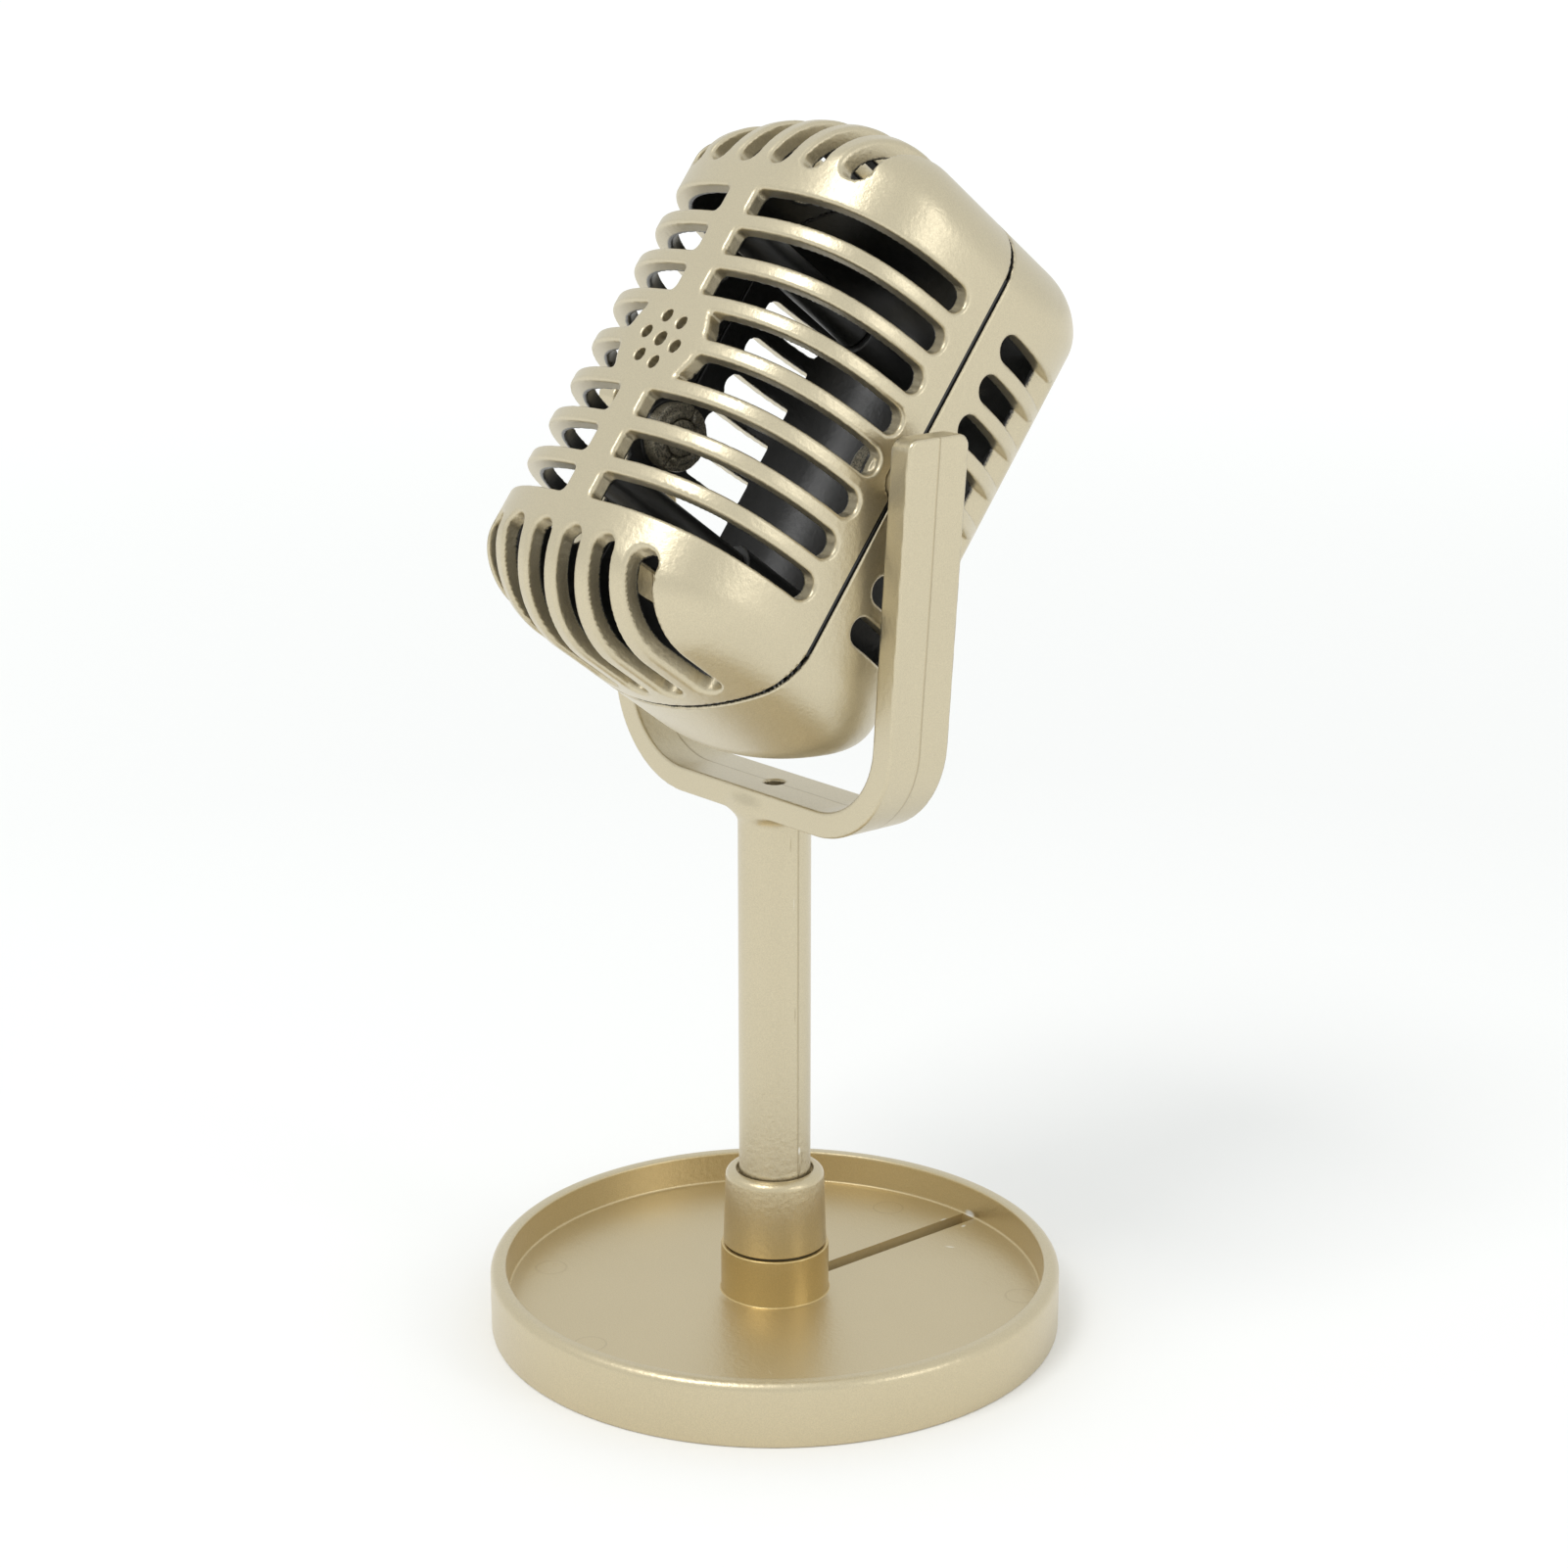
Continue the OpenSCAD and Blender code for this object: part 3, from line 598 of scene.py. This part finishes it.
def head_surface(x, y, w, inset):
    """Distance outside the head's smooth skin, or outside a skin that lies deeper by the inset."""
    wide, deep, high = half_wide - inset, depth - inset, half_high - inset
    roll, arc, blunt = edge - inset, crown - inset, round_corner - inset
    ax, ad, aw = np.abs(x), np.abs(y), np.abs(w)

    # The sides and the front are one surface, rounded like a squared circle seen from above.
    fx, fd = ax / wide, ad / deep
    size = np.maximum((fx ** bulge + fd ** bulge) ** (1 / bulge), 1e-3)
    gx, gd = (fx / size) ** (bulge - 1) / wide, (fd / size) ** (bulge - 1) / deep
    steep = np.hypot(gx, gd)
    round_side = (size - 1) / steep
    nx, nd = gx / steep, gd / steep

    # The top and bottom are crowned, and roll over into the front.
    ax_arc = np.minimum(ax, arc - 4)
    drop = arc - np.sqrt(arc ** 2 - ax_arc ** 2)
    tilt = ax_arc / np.sqrt(arc ** 2 - ax_arc ** 2)
    q1, q2 = ad - (deep - roll), aw + drop - (high - roll)
    far = np.maximum(np.hypot(q1, q2), 1e-6)
    fall = np.minimum(q2, 0)
    sink = np.where(fall > -4, fall ** 2 / 8, -fall - 2)
    bend_in = (q1 > 0) & (q2 > 0)
    flat = q1 <= 0
    end = np.where(flat, q2 - roll, np.where(bend_in, far - roll, q1 - roll - sink))
    ed = np.where(flat, 0.0, np.where(bend_in, q1 / far, 1.0))
    ew = np.where(flat, 1.0, np.where(bend_in, q2 / far, np.minimum(-fall / 4, 1)))
    size_end = np.sqrt(ed ** 2 + ew ** 2 * (1 + tilt ** 2))
    end = end / size_end

    # The edge where the two surfaces meet is rounded over by its own radius.
    taper = np.maximum(1 - np.minimum(fd, 1) ** bulge, 0) ** (1 / bulge)
    blend = np.minimum(blunt, 0.45 * wide * taper)
    u, v = round_side + blend, end + blend
    k = np.clip((nx * tilt * ew + nd * ed) / size_end, 0, 0.95)
    between = (u > k * v) & (v > k * u) & (u > 0) & (v > 0)
    rounded = np.sqrt(np.maximum(u * u + v * v - 2 * u * v * k, 0) / (1 - k * k))
    return np.where(between, rounded, np.maximum(u, v)) - blend


rows, row_pitch, row_half = 8, 7.05, 2.225
row_front, row_back, spine_half, row_corner, disc = 5.0, 5.1, 3.2, 1.1, 9.2
ends, end_pitch, end_half, end_start, end_border = 6, 7.3, 2.2, 31.6, 3.4
mouth_hole, mouth_ring, ring_hole = 1.2, 4.1, 1.05
groove_half, groove_deep, post_up = 0.38, 0.9, 21.6
parting, peg_bore = 0.05, 3.08


def nearest_row(w):
    i = np.clip(np.round(w / row_pitch + (rows - 1) / 2), 0, rows - 1)
    return i, w - (i - (rows - 1) / 2) * row_pitch


def front_slots(x, y, w):
    """Distance outside the nearest slot or hole of the front shell."""
    ax, d, aw = np.abs(x), -y, np.abs(w)
    i, off = nearest_row(w)
    aoff = np.abs(off)
    outer_end = np.where(d > row_front + row_half, aoff - row_half,
                         np.hypot(d - row_front - row_half, off) - row_half)
    qx, qw = spine_half + row_corner - ax, aoff - row_half + row_corner
    spine_end = (np.hypot(np.maximum(qx, 0), np.maximum(qw, 0)) + np.minimum(np.maximum(qx, qw), 0)
                 - row_corner)
    side = np.maximum(outer_end, spine_end)
    middle = (i == rows / 2 - 1) | (i == rows / 2)
    side = np.where(middle, meet(side, disc - np.hypot(x, w), 1.0), side)

    j = np.clip(np.round(x / end_pitch + (ends - 1) / 2), 0, ends - 1)
    xo = x - (j - (ends - 1) / 2) * end_pitch
    start = end_start + end_half
    over = np.where(aw > start, np.abs(xo) - end_half, np.hypot(aw - start, xo) - end_half)
    stop = end_border + end_half
    under = np.where(d > stop, np.abs(xo) - end_half, np.hypot(d - stop, xo) - end_half)
    return np.minimum(side, np.maximum(over, under))


def mouth_holes(x, w):
    nearest = np.hypot(x, w) - mouth_hole
    for k in range(6):
        turn = math.radians(-12 - 60 * k)
        off = np.hypot(x - mouth_ring * math.cos(turn), w - mouth_ring * math.sin(turn))
        nearest = np.minimum(nearest, off - ring_hole)
    return nearest


def shell_skin(x, y, w, openings, round_over):
    """The shell's wall with its openings, and the groove round it at the parting plane."""
    outside = head_surface(x, y, w, 0)
    inside = head_surface(x, y, w, wall)
    groove = np.minimum(groove_half - np.abs(y), outside + groove_deep)
    skin = meet(outside, groove, 0.3)
    for opening, radius in zip(openings, round_over):
        skin = meet(skin, -opening, radius)
    return meet(skin, -inside, 0.25)


def peg_saddle(x, y, w):
    """The round boss inside each side wall; each shell holds half of it."""
    ax, off = np.abs(x), np.hypot(y, w + head_lift)
    boss = meet(off - 5.6, np.maximum(23.5 - ax, ax - 28.0), 0.35)
    step = meet(off - 4.3, np.maximum(23.1 - ax, ax - 28.0), 0.2)
    return np.minimum(boss, step)


def front_field(x, y, w):
    skin = shell_skin(x, y, w, [front_slots(x, y, w), mouth_holes(x, w)], [0.65, 0.3])
    skin = join(skin, peg_saddle(x, y, w), 0.3)
    skin = np.maximum(skin, y + parting)
    off = np.hypot(x, np.abs(w) - post_up)
    post = meet(off - 3.0, np.maximum(y - 2.5, -28.5 - y), 0.3)
    skin = join(skin, post, 0.5)
    skin = np.maximum(skin, -np.maximum(off - 1.1, -8.5 - y))
    return meet(skin, peg_bore - np.hypot(y, w + head_lift), 0.2)


def to_world(points, normals):
    """From the head's own axes to the lean it has at rest on its pegs."""
    turn = np.array(Matrix.Rotation(-lean, 3, "X"))
    moved = (points + (0, 0, head_lift)) @ turn.T + (0, 0, pivot)
    return moved, normals @ turn.T


def shell_piece(name, field, low, high, step):
    """Meshes one shell, and works out how far the spray reached into its slots."""
    points, quads, normals = surface_net(field, low, high, step)
    deep_in = -head_surface(*points.T, 0)
    painted = np.clip((2.85 - deep_in) / 0.7, 0, 1)
    in_groove = np.clip((0.72 - np.abs(points[:, 1])) / 0.3, 0, 1)
    painted *= 1 - in_groove * np.clip((deep_in - 0.12) / 0.3, 0, 1)
    near_peg = (np.abs(points[:, 0]) < 26.2) & (np.hypot(points[:, 1], points[:, 2] + head_lift) < 9)
    painted[near_peg & (deep_in > 2.5)] = 0.44
    moved, turned = to_world(points, normals)
    mesh = net_mesh(name, moved, quads, turned)
    set_painted(mesh, painted)
    mesh.materials.append(plain_paint)
    return mesh


front_mesh = shell_piece("front_shell_looks", front_field, (-30.6, -30.8, -47.8), (30.6, 3.4, 47.8), 0.5)
link("front_shell_looks", front_mesh, "head", "satin_gold", "front_shell")


# ---------------------------------------------------------------------------
# Back shell.  The other half, of the same plastic and paint: a smooth back,
# side slots that run out in grooves, and two tubes that take the screws.
def back_slots(x, y, w):
    """Distance outside the nearest slot of the back shell."""
    i, off = nearest_row(w)
    round_end = np.where(y > row_back + row_half, np.abs(off) - row_half,
                         np.hypot(y - row_back - row_half, off) - row_half)
    return meet(round_end, 24.3 - np.abs(x), 0.5)


def back_field(x, y, w):
    skin = shell_skin(x, y, w, [back_slots(x, y, w)], [0.65])
    skin = join(skin, peg_saddle(x, y, w), 0.3)
    skin = np.maximum(skin, parting - y)
    off = np.hypot(x, np.abs(w) - post_up)
    post = meet(off - 4.1, np.maximum(2.5 - y, y - 28.5), 0.3)
    skin = join(skin, post, 0.5)
    recess = np.maximum(off - 2.6, 5.5 - y)
    through = off - 1.5
    skin = meet(skin, -np.minimum(recess, through), 0.2)
    return meet(skin, peg_bore - np.hypot(y, w + head_lift), 0.2)


back_mesh = shell_piece("back_shell_looks", back_field, (-30.6, -0.6, -47.8), (30.6, 30.8, 47.8), 0.54)
link("back_shell_looks", back_mesh, "head", "satin_gold", "back_shell")


# ---------------------------------------------------------------------------
# Screws and washer.  Zinc-plated steel pan heads with a cross recess: one up
# through the hub's washer into the stem, two from behind into the front posts.
def plated_steel(name):
    """Zinc plating: cool grey metal with a cloudy sheen and fine turned marks."""
    metal = bpy.data.materials.new(name)
    metal.use_nodes = True
    tree = metal.node_tree
    shader = tree.nodes["Principled BSDF"]
    shader.inputs["Metallic"].default_value = 1.0
    where = node(tree, "ShaderNodeTexCoord", (-1000, 0))
    clouds = node(tree, "ShaderNodeTexNoise", (-800, 100), inputs={"Scale": 900.0, "Detail": 3.0})
    scores = node(tree, "ShaderNodeTexNoise", (-800, -200), inputs={"Scale": 5200.0, "Detail": 2.0})
    for texture in (clouds, scores):
        tree.links.new(where.outputs["Object"], texture.inputs["Vector"])
    tone = node(tree, "ShaderNodeMix", (-500, 100), data_type="RGBA",
                inputs={6: (0.46, 0.46, 0.44, 1), 7: (0.62, 0.62, 0.60, 1)})
    tree.links.new(clouds.outputs["Fac"], tone.inputs[0])
    tree.links.new(tone.outputs[2], shader.inputs["Base Color"])
    sheen = node(tree, "ShaderNodeMapRange", (-500, -100),
                 inputs={"From Min": 0.3, "From Max": 0.7, "To Min": 0.28, "To Max": 0.45})
    tree.links.new(clouds.outputs["Fac"], sheen.inputs["Value"])
    tree.links.new(sheen.outputs["Result"], shader.inputs["Roughness"])
    scored = node(tree, "ShaderNodeBump", (-500, -350), inputs={"Strength": 0.2, "Distance": 0.00005})
    tree.links.new(scores.outputs["Fac"], scored.inputs["Height"])
    tree.links.new(scored.outputs["Normal"], shader.inputs["Normal"])
    return metal


steel_plate = plated_steel("zinc_plate")


def wire(tree, *steps):
    """Joins outputs to inputs, given as (node, output, node, input)."""
    for source, out_socket, target, in_socket in steps:
        tree.links.new(source.outputs[out_socket], target.inputs[in_socket])


def screw_tree():
    """Geometry Nodes for a row of like screws: a tapered head with a cross, a shank and a thread."""
    tree = bpy.data.node_groups.new("pan_screws", "GeometryNodeTree")
    for socket, kind, start in (("Shank radius", "Float", 0.0013), ("Length", "Float", 0.012),
                                ("Head radius", "Float", 0.0024), ("Head height", "Float", 0.0018),
                                ("Thread pitch", "Float", 0.001), ("Copies", "Int", 1),
                                ("Step", "Vector", (0, 0, 0)), ("Turn", "Vector", (0, 0, 0)),
                                ("Place", "Vector", (0, 0, 0))):
        made = tree.interface.new_socket(socket, in_out="INPUT", socket_type="NodeSocket" + kind)
        made.default_value = start
    tree.interface.new_socket("Geometry", in_out="OUTPUT", socket_type="NodeSocketGeometry")
    given = node(tree, "NodeGroupInput", (-1600, 0))
    result = node(tree, "NodeGroupOutput", (1400, 0))

    def scaled(socket, factor, place):
        made = node(tree, "ShaderNodeMath", place, operation="MULTIPLY", inputs={1: factor})
        tree.links.new(given.outputs[socket], made.inputs[0])
        return made

    def at_height(mesh, height, place, rotation=None):
        joined = node(tree, "ShaderNodeCombineXYZ", (place[0] - 180, place[1] - 120))
        tree.links.new(height.outputs[0], joined.inputs["Z"])
        moved = node(tree, "GeometryNodeTransform", place)
        if rotation:
            moved.inputs["Rotation"].default_value = rotation
        wire(tree, (mesh, 0, moved, "Geometry"), (joined, 0, moved, "Translation"))
        return moved

    # Head: a short cylinder with a tapered cap under it, which is the screw's face.
    low_half = scaled("Head height", 0.5, (-1400, 500))
    face_radius = scaled("Head radius", 0.72, (-1400, 350))
    collar = node(tree, "GeometryNodeMeshCylinder", (-1100, 500), inputs={"Vertices": 48})
    wire(tree, (given, "Head radius", collar, "Radius"), (low_half, 0, collar, "Depth"))
    cap = node(tree, "GeometryNodeMeshCone", (-1100, 200), inputs={"Vertices": 48})
    wire(tree, (face_radius, 0, cap, "Radius Bottom"), (given, "Head radius", cap, "Radius Top"),
         (low_half, 0, cap, "Depth"))
    collar_at = at_height(collar, scaled("Head height", -0.25, (-900, 600)), (-600, 500))
    cap_at = at_height(cap, scaled("Head height", -1.0, (-900, 250)), (-600, 200))
    shank = node(tree, "GeometryNodeMeshCylinder", (-1100, -100), inputs={"Vertices": 40})
    wire(tree, (given, "Shank radius", shank, "Radius"), (given, "Length", shank, "Depth"))
    shank_at = at_height(shank, scaled("Length", 0.5, (-900, -50)), (-600, -100))

    # Thread: a thin ridge wound round the shank.
    turns = node(tree, "ShaderNodeMath", (-1300, -400), operation="DIVIDE")
    wound = scaled("Length", 0.82, (-1500, -400))
    wire(tree, (wound, 0, turns, 0), (given, "Thread pitch", turns, 1))
    helix = node(tree, "GeometryNodeCurveSpiral", (-1100, -400), inputs={"Resolution": 24})
    wire(tree, (turns, 0, helix, "Rotations"), (wound, 0, helix, "Height"),
         (given, "Shank radius", helix, "Start Radius"), (given, "Shank radius", helix, "End Radius"))
    ridge_size = scaled("Thread pitch", 0.16, (-1300, -650))
    ridge = node(tree, "GeometryNodeCurvePrimitiveCircle", (-1100, -650), inputs={"Resolution": 6})
    tree.links.new(ridge_size.outputs[0], ridge.inputs["Radius"])
    thread = node(tree, "GeometryNodeCurveToMesh", (-850, -400), inputs={"Fill Caps": True})
    wire(tree, (helix, 0, thread, "Curve"), (ridge, 0, thread, "Profile Curve"))
    thread_at = at_height(thread, scaled("Length", 0.12, (-900, -650)), (-600, -400))

    # Cross recess, cut into the head from its face.
    arm_long = scaled("Head radius", 1.25, (-600, 900))
    arm_wide = scaled("Head radius", 0.3, (-600, 800))
    bars = []
    for k, turn in enumerate((0.0, math.pi / 2)):
        size = node(tree, "ShaderNodeCombineXYZ", (-400, 900 - 200 * k))
        wire(tree, (arm_long, 0, size, "X"), (arm_wide, 0, size, "Y"), (given, "Head height", size, "Z"))
        bar = node(tree, "GeometryNodeMeshCube", (-200, 900 - 200 * k))
        tree.links.new(size.outputs[0], bar.inputs["Size"])
        face = scaled("Head height", -1.0, (-400, 1100 + 100 * k))
        bars.append(at_height(bar, face, (0, 900 - 200 * k), (0, 0, turn)))
    whole_head = node(tree, "GeometryNodeMeshBoolean", (-300, 350), operation="UNION")
    wire(tree, (collar_at, 0, whole_head, "Mesh 2"), (cap_at, 0, whole_head, "Mesh 2"))
    recessed = node(tree, "GeometryNodeMeshBoolean", (200, 500), operation="DIFFERENCE")
    wire(tree, (whole_head, 0, recessed, "Mesh 1"),
         (bars[0], 0, recessed, "Mesh 2"), (bars[1], 0, recessed, "Mesh 2"))

    screw = node(tree, "GeometryNodeJoinGeometry", (400, 100))
    for part in (recessed, shank_at, thread_at):
        tree.links.new(part.outputs[0], screw.inputs["Geometry"])
    placed = node(tree, "GeometryNodeTransform", (600, 100))
    wire(tree, (screw, 0, placed, "Geometry"),
         (given, "Place", placed, "Translation"), (given, "Turn", placed, "Rotation"))
    row = node(tree, "GeometryNodeMeshLine", (600, -200))
    wire(tree, (given, "Copies", row, "Count"), (given, "Step", row, "Offset"))
    copies = node(tree, "GeometryNodeInstanceOnPoints", (800, 0))
    wire(tree, (row, 0, copies, "Points"), (placed, 0, copies, "Instance"))
    real = node(tree, "GeometryNodeRealizeInstances", (1000, 0))
    tree.links.new(copies.outputs[0], real.inputs[0])
    finish = node(tree, "GeometryNodeSetMaterial", (1200, 0), inputs={"Material": steel_plate})
    wire(tree, (real, 0, finish, "Geometry"), (finish, 0, result, "Geometry"))
    return tree


def grow(name, tree, values):
    """Runs a Geometry Nodes tree with the given named inputs, and returns the plain mesh it makes."""
    seed = bpy.data.objects.new(name, bpy.data.meshes.new(name + "_seed"))
    bpy.context.scene.collection.objects.link(seed)
    modifier = seed.modifiers.new("nodes", "NODES")
    modifier.node_group = tree
    sockets = {item.name: item.identifier for item in tree.interface.items_tree if item.in_out == "INPUT"}
    for key, value in values.items():
        modifier[sockets[key]] = value
    seed.update_tag()
    mesh = bpy.data.meshes.new_from_object(seed.evaluated_get(bpy.context.evaluated_depsgraph_get()))
    seed.modifiers.clear()
    bpy.data.objects.remove(seed)
    mesh.validate()
    mesh.name = name
    return mesh


pan_screws = screw_tree()
up_head = Vector((0, math.sin(lean), math.cos(lean))) * 0.0216
seat = Matrix.Rotation(-lean, 3, "X") @ Vector((0, 0.0055, head_lift / 1000)) + Vector((0, 0, pivot / 1000))
shell_screws_mesh = grow("shell_screws_looks", pan_screws, {
    "Shank radius": 0.00118, "Length": 0.012, "Head radius": 0.0024, "Head height": 0.0018,
    "Thread pitch": 0.0010, "Copies": 2, "Step": tuple(up_head * 2),
    "Turn": (math.pi / 2 - lean, 0.0, 0.0), "Place": tuple(seat - up_head)})
shade_by_angle(shell_screws_mesh, 35)
link("shell_screws_looks", shell_screws_mesh, "head", "screw_steel", "upper_shell_screw", "lower_shell_screw")

base_screw_mesh = grow("base_screw_looks", pan_screws, {
    "Shank radius": 0.0018, "Length": 0.022, "Head radius": 0.0034, "Head height": 0.0022,
    "Thread pitch": 0.0013, "Copies": 1, "Place": (0.0, 0.0, 0.0034)})
shade_by_angle(base_screw_mesh, 35)
link("base_screw_looks", base_screw_mesh, "stand", "screw_steel", "base_screw")

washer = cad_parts["base_washer"]
washer.data.materials.clear()
washer.data.materials.append(steel_plate)


# ---------------------------------------------------------------------------
# Finish.
bpy.context.view_layer.update()
